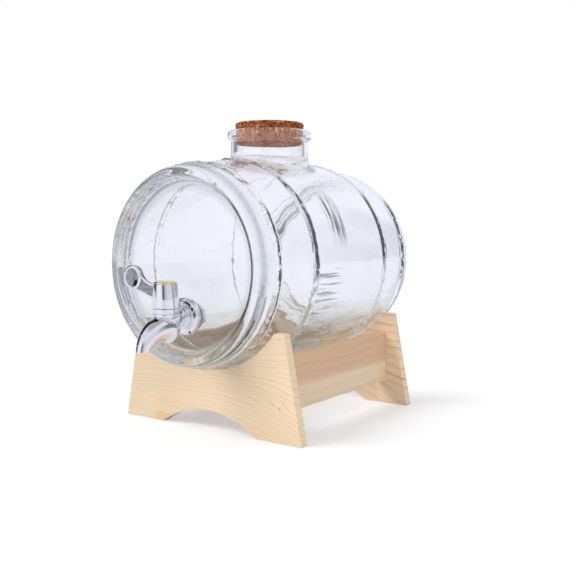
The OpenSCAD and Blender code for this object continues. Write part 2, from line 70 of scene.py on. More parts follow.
# Neck and cork
NECK_R = 33.3
SKIRT = 8.5
LIP_R = 36.2
LIP_IN_R = 30.4
NECK_TOP = 244.0
BORE_R = 28.55
THROAT = 6.0
CORK_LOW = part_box("cork_stopper")[0].z / MM
CORK_TOP = 250.6
CORK_LOW_R = 28.45
CORK_TAPER = 0.062
GRANULES_TO_METRE = 640.0

# Painted dark lines on the hoops, standing in for their dark refraction: the hoop's place, from and to across
# it, lowest and highest end, and how broken
HOOP_PAINTED_LINES = (
    (-96.0, -0.2, 3.2, -62, 46, 0.36),
    (-53.5, -2.0, 2.8, -10, 60, 0.34),
    (53.5, -4.4, -1.2, 0, 58, 0.32),
    (53.5, 0.6, 3.2, 0, 58, 0.34),
    (96.0, -3.8, 3.2, -18, 54, 0.38),
)
# Marks of the mould on the right side, their relief real and their dark tone painted shade: where each
# starts, is whole, fades and ends, along it and up
BRUSH_SHADE_EXTENT = (-31, -24, -12, -5), (10, 30, 50, 66)
BRUSH_RELIEF = (-33, -28, -17, -11), (12, 24, 56, 64)
RIPPLE_SHADE_EXTENT = (-53, -49, -30, -12), (-44, -34, -4, 0)
RIPPLE_RELIEF = (-53, -49, -24, -12), (-36, -30, -5, 0)
# Other marks, written the same way: radii in the front rim, a place along, and radii on the tap's dome
HEAD_EDGE_R = (56.0, 63.0, 66.5, 68.0)
RIM_CORNER_R = (67.4, 68.4, 70.6, 72.4)
LOW_RIGHT_ALONG = (-58, -48, -15, 10)
DOME_ARC_R = (11.0, 11.6, 12.6, 13.2)
# Spot of painted dark reflection on the dome, across and up from its middle
DOME_SPOT = (6.9, -11.3)

# Tap: the elbow leaves the head, drops under the tower and bends down into the spout
TAP_Z = AXIS_Z - 38.3
HEAD_Y = BARREL_Y - HEAD_S
TAP_HOLE_R = 6.6
SEAL_R = 6.1
ELBOW_OUT = 9.6
TOWER_OUT = 24.2
TOWER_Y = HEAD_Y - TOWER_OUT
DROP = 4.2
BEND_R = 26.0
SPOUT_TURN = 70
ROOT_R = 6.8
ELBOW_R = 9.5
MOUTH_R = 5.5
SWELL = 2.2
SHANK_R = 5.45
SHANK_END = 16.0
THREAD_PITCH = 1.5
HANDLE_Z = TAP_Z + 8.7
HUB_H = 18.0
WEB_T = 2.6
PADDLE_X = -33.8
PADDLE_UP = 21.6
PADDLE_R = 9.4
NUT_FLATS = 17.0

# Stand: each board is placed by its face towards the tap
BOARD_T = 8.0
BOARD_H = 83.0
FOOT_HALF = 92
TOP_HALF = 76
ARCH_HALF = 49
ARCH_H = 15
FRONT_S = -84.0
BACK_S = 84.0
CRADLE_GAP = 0.3
NAIL_R = 0.9

# Darker spots in the front board: place along and up, half width, half height and colour
FRONT_SPOTS = (
    (-51.5, 3.0, 9.0, 6.5, (0.86, 0.60, 0.34, 1)),
    (-56.0, 17.5, 30.0, 2.2, (0.90, 0.66, 0.42, 1)),
    (72.3, 26.5, 1.1, 1.6, (0.66, 0.46, 0.30, 1)),
)


def belly(s):
    """Radius of the glass at a place along the barrel"""
    return BELLY_R - (BELLY_R - RIM_R) * (s / HALF_LEN) ** 2


def step(low, high, value):
    """Smooth step from 0 at low to 1 at high"""
    t = min(1.0, max(0.0, (value - low) / (high - low)))
    return t * t * (3 - 2 * t)


def between(value, start, whole, fading, end):
    """Share that is 1 between two places and fades out past them"""
    return step(start, whole, value) * step(end, fading, value)


def bend(a, b, c, t):
    """Point at a share of the way along a curve from a to c that leans towards b"""
    return Vector(a) * (1 - t) ** 2 + Vector(b) * 2 * t * (1 - t) + Vector(c) * t * t


def eased(points, cuts, steps=5):
    """An outline with its inner corners rounded, each over its own length of cut"""
    points = [Vector(p) for p in points]
    out = [points[0]]
    for before, corner, after, cut in zip(points, points[1:], points[2:], cuts):
        if not cut:
            out.append(corner)
            continue
        a = corner + (before - corner).normalized() * cut
        b = corner + (after - corner).normalized() * cut
        out += [bend(a, corner, b, i / steps) for i in range(steps + 1)]
    return out + [points[-1]]


def added(bm, part, place):
    """Adds a copy of a part at a place and returns its vertices"""
    mesh = bpy.data.meshes.new("part")
    part.to_mesh(mesh)
    old = set(bm.verts)
    bm.from_mesh(mesh)
    bpy.data.meshes.remove(mesh)
    fresh = [v for v in bm.verts if v not in old]
    bmesh.ops.transform(bm, matrix=place, verts=fresh)
    return fresh


def only_verts(geom):
    return [g for g in geom if isinstance(g, bmesh.types.BMVert)]


def turned(bm, outline, sides, place):
    """Spins an outline of (radius, height) round Z as equal wedges, put in place"""
    wedge = bmesh.new()
    verts = [wedge.verts.new((radius, 0, height)) for radius, height in outline]
    edges = [wedge.edges.new(pair) for pair in zip(verts, verts[1:])]
    bmesh.ops.spin(wedge, geom=verts + edges, cent=(0, 0, 0), axis=(0, 0, 1),
                   angle=2 * math.pi / WEDGES, steps=sides // WEDGES)
    whole = bmesh.new()
    for i in range(WEDGES):
        added(whole, wedge, Matrix.Rotation(2 * math.pi * i / WEDGES, 4, "Z"))
    bmesh.ops.remove_doubles(whole, verts=whole.verts, dist=MERGE)
    fresh = added(bm, whole, place)
    wedge.free()
    whole.free()
    return fresh


def open_edges(verts):
    """Edges at the border of these vertices' faces"""
    edges = {e for v in verts if v.is_valid for e in v.link_edges}
    return [e for e in edges if len(e.link_faces) < 2]


def ease_edges(bm, offset, segments, least_angle, keep=lambda edge: True):
    """Bevels the edges that turn by more than the least angle"""
    edges = [e for e in bm.edges
             if len(e.link_faces) == 2 and e.calc_face_angle(0) > math.radians(least_angle) and keep(e)]
    bmesh.ops.bevel(bm, geom=edges, offset=offset, segments=segments, profile=0.5,
                    affect="EDGES", material=-1)


def new_object(name, data):
    made = bpy.data.objects.new(name, data)
    bpy.context.scene.collection.objects.link(made)
    return made


def finish_piece(bm, name, material, body, slot, *stands_for, sharp=35):
    """Makes the mesh an object of the scene that moves with its CAD body"""
    bmesh.ops.recalc_face_normals(bm, faces=bm.faces)
    bmesh.ops.scale(bm, vec=(MM, MM, MM), verts=bm.verts)
    mesh = bpy.data.meshes.new(name)
    bm.to_mesh(mesh)
    bm.free()
    mesh.materials.append(material)
    mesh.shade_smooth()
    mesh.set_sharp_from_angle(angle=math.radians(sharp))
    piece = new_object(name, mesh)
    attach(piece, body)
    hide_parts(*stands_for)
    return piece


class Nodes:
    """Adds nodes to a tree, with inputs given as values or as other nodes' sockets"""

    def __init__(self, tree):
        self.tree = tree

    def add(self, kind, settings=None, **inputs):
        made = self.tree.nodes.new(kind)
        for key, value in (settings or {}).items():
            setattr(made, key, value)
        for key, value in inputs.items():
            self.feed(made.inputs[key.replace("_", " ")], value)
        return made

    def feed(self, socket, value):
        if isinstance(value, bpy.types.NodeSocket):
            self.tree.links.new(value, socket)
        else:
            socket.default_value = value

    def turned_to(self, vector, scale=(1, 1, 1), location=(0, 0, 0), rotation=(0, 0, 0)):
        return self.add("ShaderNodeMapping", Vector=vector, Scale=scale, Location=location,
                        Rotation=rotation).outputs[0]

    def axes(self, vector):
        return self.add("ShaderNodeSeparateXYZ", Vector=vector).outputs

    def noise(self, vector, detail=3.0, roughness=0.5):
        return self.add("ShaderNodeTexNoise", Vector=vector, Scale=1.0, Detail=detail,
                        Roughness=roughness).outputs["Fac"]

    def math(self, operation, *values, clamp=False):
        made = self.add("ShaderNodeMath", {"operation": operation, "use_clamp": clamp})
        for socket, value in zip(made.inputs, values):
            self.feed(socket, value)
        return made.outputs[0]

    def total(self, first, *others):
        for other in others:
            first = self.math("ADD", first, other)
        return first

    def product(self, first, *others):
        for other in others:
            first = self.math("MULTIPLY", first, other)
        return first

    def distance(self, across, above):
        return self.math("SQRT", self.total(self.product(across, across), self.product(above, above)))

    def ramp(self, factor, *stops):
        """Colours at positions from 0 to 1; a lone number stands for a grey"""
        made = self.add("ShaderNodeValToRGB", Fac=factor)
        elements = made.color_ramp.elements
        while len(elements) < len(stops):
            elements.new(0.5)
        for element, (position, colour) in zip(elements, stops):
            element.position = position
            element.color = (*colour, 1) if isinstance(colour, tuple) else (colour, colour, colour, 1)
        return made.outputs["Color"]

    def mix(self, factor, a, b, blend="MIX"):
        made = self.add("ShaderNodeMix", {"data_type": "RGBA", "blend_type": blend})
        for index, value in ((0, factor), (6, a), (7, b)):
            self.feed(made.inputs[index], value)
        return made.outputs[2]

    def rise(self, value, low, high, start=0.0, end=1.0):
        """Goes smoothly from start to end while the value goes from low to high"""
        return self.add("ShaderNodeMapRange", {"interpolation_type": "SMOOTHSTEP"}, Value=value,
                        From_Min=low, From_Max=high, To_Min=start, To_Max=end).outputs[0]


class Finish(Nodes):
    """A material with its own shader, patterned on the piece's Object coordinates in metres"""

    def __init__(self, name):
        self.material = bpy.data.materials.new(name)
        self.material.use_nodes = True
        super().__init__(self.material.node_tree)
        self.shader = self.tree.nodes["Principled BSDF"]
        self.place = self.add("ShaderNodeTexCoord").outputs["Object"]

    def cloud(self, scale, location=(0, 0, 0), detail=3.0, roughness=0.5):
        """Noise over the piece, finer along the axes that are scaled up more"""
        return self.noise(self.turned_to(self.place, scale, location), detail, roughness)

    def from_place(self, value, place):
        """How far a value in metres is past a place in millimetres"""
        return self.math("SUBTRACT", value, place * MM)

    def fade(self, value, nothing_at, whole_at):
        """Share that goes from 0 to 1 between two places, given in millimetres"""
        return self.rise(value, nothing_at * MM, whole_at * MM)

    def band(self, value, start, whole, fading, end):
        """Share that is 1 between two places and fades out past them"""
        return self.product(self.fade(value, start, whole), self.fade(value, end, fading))

    def spot(self, across, above, middle, whole_r, end_r):
        """Share that is 1 within a radius of the middle and fades out round it"""
        away = self.distance(self.from_place(across, middle[0]), self.from_place(above, middle[1]))
        return self.fade(away, end_r, whole_r)

    def bump(self, height, strength, distance):
        made = self.add("ShaderNodeBump", Height=height, Strength=strength, Distance=distance)
        self.feed(self.shader.inputs["Normal"], made.outputs[0])

    def set(self, **values):
        for key, value in values.items():
            self.feed(self.shader.inputs[key.replace("_", " ")], value)
        return self.material


# Glass: its marks are tones of its colour, written darker than they look through one face; most are painted
# shade and painted reflections standing in for how the glass bends light

PAINTED_DARK_LINE = (0.012, 0.013, 0.016, 1)
BRUSH_PAINTED_SHADE = (0.035, 0.036, 0.042, 1)
RIPPLE_PAINTED_SHADE = (0.20, 0.205, 0.19, 1)
HEAD_EDGE_PAINTED_SHADE = (0.62, 0.63, 0.65, 1)
RIM_GREY = (0.60, 0.61, 0.62, 1)
BOTTOM_PAINTED_REFLECTION = (0.72, 0.71, 0.60, 1)
LOW_RIGHT_PAINTED_REFLECTION = (0.36, 0.37, 0.30, 1)
GLASS_DEPTH = (0.78, 0.81, 0.80, 1)
GLASS_DENSITY = 5.5


class BarrelGlass(Finish):
    """Glass with places on the barrel: x across, s along, up from the axis and the radius, in metres"""

    def __init__(self, name):
        super().__init__(name)
        self.x, y, z = self.axes(self.place)
        self.s = self.from_place(y, BARREL_Y)
        self.up = self.from_place(z, AXIS_Z)
        self.radius = self.distance(self.x, self.up)
        bulge = (BELLY_R - RIM_R) / HALF_LEN ** 2 / MM
        belly_r = self.total(self.radius, self.product(self.s, self.s, bulge))
        self.right_side = self.product(self.fade(self.x, 0, 10),
                                       self.fade(belly_r, BELLY_R - 2.5, BELLY_R - 1.5))
        self.colour = (0.995, 0.996, 1.0, 1)

    def tone(self, colour, *shares):
        """Tones the glass where every share is 1"""
        self.colour = self.mix(self.product(*shares), self.colour, colour)


def mark_hoops(glass):
    """Painted dark speckled lines along the right side of the hoops, standing in for the dark refraction at
    their grazing flanks
    """
    line_breaks = glass.cloud((150, 300, 150), roughness=0.6)
    for at, low, high, bottom, top, gaps in HOOP_PAINTED_LINES:
        glass.tone(PAINTED_DARK_LINE, glass.right_side, glass.ramp(line_breaks, (gaps, 0.0), (gaps + 0.08, 1.0)),
                   glass.band(glass.from_place(glass.s, at), low - 0.4, low + 0.4, high - 0.4, high + 0.4),
                   glass.band(glass.up, bottom - 6, bottom + 6, top - 6, top + 8))


def mark_front_rim(glass):
    """Painted grey shade where the front head meets its rim, and a painted dark line up the right of the
    rim's corner
    """
    glass.tone(HEAD_EDGE_PAINTED_SHADE, glass.fade(glass.s, 1.5 - HEAD_S, 0.5 - HEAD_S),
               glass.band(glass.radius, *HEAD_EDGE_R))
    glass.tone(PAINTED_DARK_LINE, glass.fade(glass.s, 4.5 - FRONT_LEN, 3.0 - FRONT_LEN),
               glass.band(glass.radius, *RIM_CORNER_R), glass.fade(glass.x, 25, 55))


def mark_mould(glass):
    """A brush stroke up the right side and a few short lines along it, left by the mould, their dark tone
    painted shade
    """
    strokes = glass.cloud((30, 560, 30), roughness=0.6)
    along, up = BRUSH_SHADE_EXTENT
    glass.tone(BRUSH_PAINTED_SHADE, glass.band(glass.s, *along), glass.band(glass.up, *up), glass.right_side,
               glass.ramp(strokes, (0.42, 0.0), (0.56, 1.0)))
    lines = glass.cloud((14, 22, 430), detail=2, roughness=0.6)
    along, up = RIPPLE_SHADE_EXTENT
    glass.tone(RIPPLE_PAINTED_SHADE, glass.band(glass.s, *along), glass.band(glass.up, *up), glass.right_side,
               glass.ramp(lines, (0.53, 0.0), (0.62, 1.0)))


def mark_rims(glass):
    """Fine rings in both end rims, fading towards the right"""
    round_axis = glass.add("ShaderNodeCombineXYZ", X=glass.product(glass.radius, 380.0),
                           Y=glass.product(glass.s, 380.0), Z=glass.product(glass.up, 14.0)).outputs[0]
    glass.tone(RIM_GREY, glass.fade(glass.math("ABSOLUTE", glass.s), HEAD_S - 1.5, HEAD_S + 2.0),
               glass.fade(glass.radius, 65.5, 67.5), glass.fade(glass.x, 55, 10),
               glass.ramp(glass.noise(round_axis), (0.44, 0.0), (0.62, 1.0)))


def mark_bottom(glass):
    """Painted reflection of the wooden stand in the bottom, duller and streaked along it, greenest low on the
    right
    """
    flow = glass.cloud((190, 14, 190), detail=4, roughness=0.6)
    glass.tone(BOTTOM_PAINTED_REFLECTION, glass.fade(glass.up, -30, -62), glass.ramp(flow, (0.36, 0.25), (0.64, 1.0)))
    glass.tone(LOW_RIGHT_PAINTED_REFLECTION, glass.band(glass.s, *LOW_RIGHT_ALONG), glass.fade(glass.up, -42, -56),
               glass.right_side, glass.ramp(flow, (0.30, 0.3), (0.55, 1.0)))


def clear_glass():
    glass = BarrelGlass("clear_glass")
    mark_hoops(glass)
    mark_front_rim(glass)
    mark_mould(glass)
    mark_rims(glass)
    mark_bottom(glass)
    glass.bump(glass.cloud((60, 18, 60), detail=2), 0.06, 0.002)
    absorb = glass.add("ShaderNodeVolumeAbsorption", Color=GLASS_DEPTH, Density=GLASS_DENSITY)
    glass.feed(glass.tree.nodes["Material Output"].inputs["Volume"], absorb.outputs[0])
    roughness = glass.ramp(glass.cloud((90, 90, 90), detail=4), (0.35, 0.0), (0.9, 0.03))
    return glass.set(Base_Color=glass.colour, Transmission_Weight=1.0, IOR=1.5, Roughness=roughness)


# Metals, plastics, cork and wood

def dome_painted_reflections(f, plating):
    """Painted dark reflections on the dome: a broken arc and a spot"""
    x, _, z = f.axes(f.place)
    above = f.from_place(z, TAP_Z)
    broken = f.ramp(f.cloud((420, 420, 420), detail=2), (0.42, 0.0), (0.50, 1.0))
    arc = f.product(f.band(f.distance(x, above), *DOME_ARC_R), f.fade(above, -1, 1),
                    f.fade(x, 2, 4), broken)
    spot = f.spot(x, above, DOME_SPOT, 0.8, 1.1)
    return f.mix(f.math("MAXIMUM", arc, spot), plating, (0.03, 0.03, 0.035, 1))


def recess_painted_shade(f, plating):
    """Painted shade and dark reflection in the sunk faces of the lever and in the dish of the paddle"""
    x, y, z = f.axes(f.place)
    off_web = f.math("ABSOLUTE", f.from_place(y, TOWER_Y))
    lever = f.product(f.fade(off_web, 1.05, 0.85), f.fade(x, -6, -9))
    dish = f.product(f.spot(x, z, (PADDLE_X, HANDLE_Z + PADDLE_UP), 6.6, 7.4),
                     f.fade(y, TOWER_Y - 0.4, TOWER_Y - 0.8))
    recess_mottle = f.cloud((500, 500, 500))
    tone = f.ramp(recess_mottle, (0.35, (0.26, 0.25, 0.26)), (0.7, (0.50, 0.48, 0.48)))
    return f.mix(f.math("MAXIMUM", lever, dish), plating, tone)


def chrome(name, marked=None):
    """Polished plating, with marks that another function draws on it"""
    f = Finish(name)
    colour = (0.88, 0.88, 0.91, 1)
    if marked:
        colour = marked(f, colour)
    smears = f.cloud((120, 120, 60), detail=4, roughness=0.6)
    f.bump(f.cloud((260, 260, 260), detail=2), 0.02, 0.0005)
    return f.set(Base_Color=colour, Metallic=1.0, Roughness=f.ramp(smears, (0.3, 0.03), (0.75, 0.09)))


def gold_plate():
    f = Finish("gold_plate")
    brushed = f.cloud((900, 60, 300))
    colour = f.ramp(brushed, (0.3, (0.94, 0.82, 0.48)), (0.7, (1.0, 0.93, 0.68)))
    f.bump(brushed, 0.05, 0.0003)
    return f.set(Base_Color=colour, Metallic=1.0, Roughness=f.ramp(brushed, (0.2, 0.16), (0.8, 0.28)))


def plain(name, colour, dark, roughness, metallic=0.0):
    """A moulded or turned finish with slight mottling"""
    f = Finish(name)
    mottle = f.cloud((150, 150, 150), detail=4)
    f.bump(mottle, 0.05, 0.0004)
    return f.set(Base_Color=f.ramp(mottle, (0.3, dark), (0.7, colour)), Metallic=metallic,
                 Roughness=f.ramp(mottle, (0.2, roughness), (0.8, roughness + 0.12)))


def cork():
    f = Finish("cork")
    warped = f.add("ShaderNodeVectorMath", {"operation": "MULTIPLY_ADD"})
    f.feed(warped.inputs[0], f.add("ShaderNodeTexNoise", Vector=f.place, Scale=500.0).outputs["Color"])
    f.feed(warped.inputs[1], (MM, MM, MM))
    f.feed(warped.inputs[2], f.place)
    granules = f.add("ShaderNodeTexVoronoi", Vector=warped.outputs[0], Scale=GRANULES_TO_METRE)
    seams = f.add("ShaderNodeTexVoronoi", {"feature": "DISTANCE_TO_EDGE"}, Vector=warped.outputs[0],
                  Scale=GRANULES_TO_METRE)
    tone = f.add("ShaderNodeSeparateColor", Color=granules.outputs["Color"]).outputs[0]
    colour = f.ramp(tone, (0.0, (0.11, 0.027, 0.009)), (0.2, (0.31, 0.088, 0.028)),
                    (0.6, (0.50, 0.155, 0.052)), (0.85, (0.62, 0.225, 0.085)), (1.0, (0.82, 0.44, 0.20)))
    fine = f.cloud((1500, 1500, 1500), detail=4, roughness=0.7)
    colour = f.mix(f.ramp(fine, (0.35, 0.0), (0.75, 0.45)), colour, (0.22, 0.060, 0.018, 1))
    gap = f.ramp(seams.outputs["Distance"], (0.0, 0.0), (0.09, 1.0))
    colour = f.mix(gap, (0.16, 0.045, 0.014, 1), colour)
    # Paler and greyer below the top of the neck
    inside = f.fade(f.axes(f.place)["Z"], NECK_TOP + 1.0, NECK_TOP - 1.0)
    colour = f.mix(inside, colour, colour, "ADD")
    colour = f.mix(f.product(inside, 0.16), colour, (0.62, 0.60, 0.56, 1))
    f.bump(f.total(f.product(gap, 0.7), f.product(fine, 0.6)), 0.5, 0.0006)
    return f.set(Base_Color=colour, Roughness=0.86, Specular_IOR_Level=0.25)


def pine(name, light, line, dark, spacing, along="X", sweep=0.0, tilt=0.0, seed=0.0, contrast=1.0,
         painted_shade_end=None, barrel_shade=None, spots=()):
    """Planed pine, its growth rings seen as lines along the grain that wander and bend"""
    f = Finish(name)

    def grain(lengthwise, across, upwards):
        return (lengthwise, across, upwards) if along == "X" else (across, lengthwise, upwards)

    places = f.axes(f.place)
    run = places[along]
    up = places["Z"]
    wander = f.math("SUBTRACT", f.cloud(grain(7, 30, 26), (seed, seed, seed), detail=2), 0.5)
    years = f.cloud((3, 3, 170), (seed, 5, 0), detail=1)
    # The lines sweep down towards the lower corner at one end
    past_middle = f.math("POWER", f.math("MAXIMUM", run, 0.0), 2.0)
    lower = f.rise(up, 70 * MM, 5 * MM, 0.08, 1.0)
    height = f.total(up, f.product(wander, 16 * MM), f.product(past_middle, f.product(lower, sweep)),
                     f.product(run, tilt), f.product(years, 4.5 * MM))
    rings = f.math("FRACT", f.math("DIVIDE", height, spacing * MM))
    late = f.ramp(rings, (0.0, 0.25), (0.12, 0.0), (0.62, 0.12), (0.93, 1.0), (1.0, 0.3))
    patch = f.ramp(f.cloud((9, 9, 60), (seed, 0, 0), detail=2), (0.3, 0.25), (0.7, 1.0))
    colour = f.mix(f.math("MULTIPLY", f.product(late, patch), contrast, clamp=True), light, line)
    broad = f.cloud(grain(5, 20, 16), (seed, 2, 1), detail=2)
    colour = f.mix(f.ramp(broad, (0.4, 0.0), (0.8, 0.55)), colour, dark)
    if painted_shade_end:
        # Painted shade, darker and greyer towards one end
        start, end, tone = painted_shade_end
        colour = f.mix(f.fade(run, end, start), colour, tone, "MULTIPLY")
    if barrel_shade:
        # Painted shadow of the barrel, darker and redder above a slanting line
        low, high, tone = barrel_shade
        edge = f.total(up, f.product(wander, 12 * MM))
        colour = f.mix(f.fade(edge, low, high), colour, tone, "MULTIPLY")
    for at_run, at_up, half_wide, half_high, tone in spots:
        across = f.math("DIVIDE", f.from_place(run, at_run), half_wide * MM)
        above = f.math("DIVIDE", f.from_place(up, at_up), half_high * MM)
        away = f.total(f.product(across, across), f.product(above, above))
        colour = f.mix(f.rise(away, 1.0, 0.1), colour, tone)
    fibre = f.cloud(grain(40, 700, 1100), roughness=0.6)
    colour = f.mix(f.ramp(fibre, (0.35, 0.0), (0.8, 0.22)), colour, line)
    f.bump(f.total(fibre, f.product(late, 0.4)), 0.10, 0.0006)
    return f.set(Base_Color=colour, Roughness=f.ramp(fibre, (0.2, 0.50), (0.8, 0.66)),
                 Specular_IOR_Level=0.3)


# Glass barrel: a turned shell with hammered hoops, opened for the neck and for the tap

def barrel_stations():
    """Places along the barrel, closer together at the hoops"""
    hoop_step = 0.78
    side_step = 2.5
    clear_of_hoop = 5.6
    fine = [at + hoop_step * i for at in HOOPS for i in range(-6, 7)]
    coarse = [side_step * i for i in range(-41, 42)]
    return sorted(fine + [s for s in coarse if all(abs(s - at) > clear_of_hoop for at in HOOPS)])


def outer_outline():
    disc = [(r, HEAD_S) for r in (0, 9, 18, 27, 36, 45)]
    front = disc + eased([(54, HEAD_S), (65.5, HEAD_S), (68.6, FRONT_LEN), (RIM_R, FRONT_LEN),
                          (RIM_R + 1.0, 104.0)], [3.0, 2.8, 4.6], 6)
    back = disc + eased([(54, HEAD_S), (62.0, HEAD_S), (72.4, HALF_LEN), (RIM_R, HALF_LEN),
                         (RIM_R + 0.7, 104.0)], [6.0, 3.0, 3.0])
    side = [(belly(s), s) for s in barrel_stations()]
    return [(r, -s) for r, s in front] + side + [(r, s) for r, s in reversed(back)]


def inner_outline():
    """The inside, with a round corner between each head and the side"""
    near = 91.0
    corner = 9.0
    middle = belly(near) - SIDE_WALL - corner
    head = [(r, HEAD_WALL - HEAD_S) for r in (0, 12, 24, 36, 48, 58)]
    for i in range(9):
        a = math.radians(-90 + 90 * i / 9)
        head.append((middle + corner * math.cos(a), -near + corner * math.sin(a)))
    side = [(belly(s) - SIDE_WALL, s) for s in [3.0 * i for i in range(-30, 31)]]
    return head + side + [(r, -s) for r, s in reversed(head)]


def hammered_hoop(s, point, around):
    """Height of the hoops over the glass, lumpy and dimpled as if beaten with a round hammer"""
    height = 0.0
    for at in HOOPS:
        if abs(s - at) > HOOP_HALF + 1.2:
            continue
        drift = 0.55 * noise.noise(around * 9 + Vector((0, at, 0)))
        width = HOOP_HALF * (1 + 0.14 * noise.noise(around * 14 + Vector((5, at, 0))))
        t = abs(s - at - drift) / width
        if t < 1:
            cells = noise.voronoi(point / DIMPLE)[0]
            dimple = max(0.0, 1 - cells[0] / 0.62)
            lumps = 0.85 + 0.35 * noise.noise(around * 17 + Vector((0, at, 7)))
            height = max(height, (1 - t ** 2.6) * (HOOP_RISE * lumps - 0.95 * dimple ** 0.8))
    return height


def chill_marks(s, point):
    """Fine wrinkles of the outside, left where the glass first met the mould"""
    along = noise.noise(Vector((point.x / 3.2, s / 60, point.z / 3.2)))
    across = noise.noise(Vector((point.x / 40, s / 2.1, point.z / 40)))
    ripple, brush = (between(s, *run) * between(point.z, *up) for run, up in (RIPPLE_RELIEF, BRUSH_RELIEF))
    right = 1.0 if point.x > 0 else 0.0
    return 0.07 * along * step(20, -35, point.z) + right * (0.16 * along * ripple + 0.14 * across * brush)


def on_barrel(verts, least_r):
    """Vertices past a radius, with their place along, place from the middle, outward way and radius"""
    for v in verts:
        s = v.co.y - BARREL_Y
        out = Vector((v.co.x, 0, v.co.z - AXIS_Z))
        radius = out.length
        if radius >= least_r:
            yield v, s, out + Vector((0, s, 0)), out / radius, radius


def off_neck(v, s, near, far):
    """Goes from 0 near the neck to 1 away from it"""
    return step(near, far, math.hypot(v.co.x, s)) if v.co.z > AXIS_Z else 1.0


def off_tap(v, radius):
    """Goes from 0 near the tap and the middle of the head to 1 away from them"""
    return step(6, 16, radius) * step(12, 22, math.hypot(v.co.x, v.co.z - TAP_Z))


def shape_outside(verts):
    for v, s, point, around, radius in on_barrel(verts, 6):
        wave = 0.10 * noise.noise(point / 26) + 0.04 * noise.noise(point / 9)
        if abs(s) > HEAD_S - 0.4 and radius < 76:
            share = step(70, 76, radius)
            v.co.y += wave * off_tap(v, radius) * (1 - share)
            v.co += around * wave * share
        else:
            calm = off_neck(v, s, 44, 58)
            v.co += around * (hammered_hoop(s, point, around) + calm * (wave + chill_marks(s, point)))


def shape_inside(verts):
    for v, s, point, around, radius in on_barrel(verts, 8):
        wave = 0.09 * noise.noise(point / 34 + Vector((9, 0, 0)))
        wave += 0.25 * max(math.exp(-((s - at) / 6.5) ** 2) for at in HOOPS)
        if abs(s) > HEAD_S - HEAD_WALL - 0.4 and radius < 60:
            v.co.y += 0.6 * wave * off_tap(v, radius)
        else:
            flow = 0.26 * noise.noise(Vector((point.x / 6.0, s / 46, point.z / 6.0)))
            v.co += around * off_neck(v, s, 38, 54) * (wave + flow * step(20, -45, point.z))


def seat_on_barrel(verts, wall):
    """Lets the foot of the neck follow the barrel, fading out up the neck"""
    crown = CROWN_Z - wall
    for v in verts:
        s = v.co.y - BARREL_Y
        surface = AXIS_Z + math.sqrt((belly(s) - wall) ** 2 - v.co.x ** 2)
        v.co.z += (surface - crown) * step(crown + 15, crown + 1, v.co.z)


def glass_neck(bm):
    """The neck's outside up to the lip, and the bore down from it"""
    upright = Matrix.Translation((0, BARREL_Y, 0))
    foot = [(NECK_R + SKIRT * (1 - t) ** 2.2, CROWN_Z + 9.5 * t ** 2.2) for t in [i / 10 for i in range(11)]]
    lip = eased([(NECK_R, 229.5), (NECK_R, 235.6), (LIP_R, 236.8), (LIP_R, NECK_TOP), (LIP_IN_R, NECK_TOP)],
                [1.6, 2.2, 3.0])
    neck = turned(bm, foot + lip, 144, upright)
    seat_on_barrel(neck, 0)
    ceiling = CROWN_Z - SIDE_WALL
    mouth = eased([(LIP_IN_R, NECK_TOP), (29.36, NECK_TOP), (BORE_R, CORK_LOW), (BORE_R, ceiling + 10)],
                  [0.9, 2.0])
    throat = [(BORE_R + THROAT * t ** 2.4, ceiling + 6.5 * (1 - t) ** 2.2) for t in [i / 8 for i in range(9)]]
    bore = turned(bm, mouth + throat, 144, upright)
    seat_on_barrel(bore, SIDE_WALL)
    return neck, bore


def opened(bm, verts, inside):
    """Deletes the faces with a vertex inside and returns the edges of the hole they leave"""
    faces = {f for v in verts if inside(v.co) for f in v.link_faces}
    ring = {e for f in faces for e in f.edges}
    bmesh.ops.delete(bm, geom=list(faces), context="FACES")
    return [e for e in ring if e.is_valid and len(e.link_faces) == 1]


def join_neck(bm, shell, neck, foot_r):
    """Opens the shell a little wider than the neck's foot and fills between them"""
    def from_neck(co):
        return math.hypot(co.x, co.y - BARREL_Y)

    hole = opened(bm, shell, lambda co: co.z > AXIS_Z and from_neck(co) < foot_r + 1.6)
    foot_edges = [e for e in open_edges(neck)
                  if all(from_neck(v.co) > foot_r - 0.1 and v.co.z < CROWN_Z + 1 for v in e.verts)]
    bmesh.ops.triangle_fill(bm, use_beauty=True, edges=hole + foot_edges, normal=(0, 0, 1))


def open_for_tap(bm, outside, inside):
    """Cuts the tap's hole into both faces of the head and joins their rims"""
    rims = []
    for verts, face_y in ((outside, HEAD_Y), (inside, HEAD_Y + HEAD_WALL)):
        made = bmesh.ops.create_circle(bm, segments=48, radius=TAP_HOLE_R,
                                       matrix=Matrix.Translation((0, face_y, TAP_Z)) @ ALONG_Y)
        rim = list({e for v in made["verts"] for e in v.link_edges})
        hole = opened(bm, [v for v in verts if v.is_valid],
                      lambda co: abs(co.y - face_y) < 1.5 and math.hypot(co.x, co.z - TAP_Z) < 9.5)
        bmesh.ops.triangle_fill(bm, use_beauty=True, edges=hole + rim, normal=(0, -1, 0))
        rims += rim
    bmesh.ops.bridge_loops(bm, edges=rims)


def glass_barrel():
    bm = bmesh.new()
    barrel = Matrix.Translation((0, BARREL_Y, AXIS_Z)) @ ALONG_Y
    outside = turned(bm, outer_outline(), 360, barrel)
    shape_outside(outside)
    inside = turned(bm, inner_outline(), 180, barrel)
    shape_inside(inside)
    neck, bore = glass_neck(bm)
    join_neck(bm, outside, neck, NECK_R + SKIRT)
    join_neck(bm, inside, bore, BORE_R + THROAT)
    bmesh.ops.remove_doubles(bm, verts=[v for v in neck + bore if v.is_valid], dist=5 * MERGE)
    open_for_tap(bm, outside, inside)
    piece = finish_piece(bm, "glass_barrel_shell", clear_glass(), "barrel", "clear_glass",
                         "glass_barrel", sharp=60)
    piece.visible_shadow = False


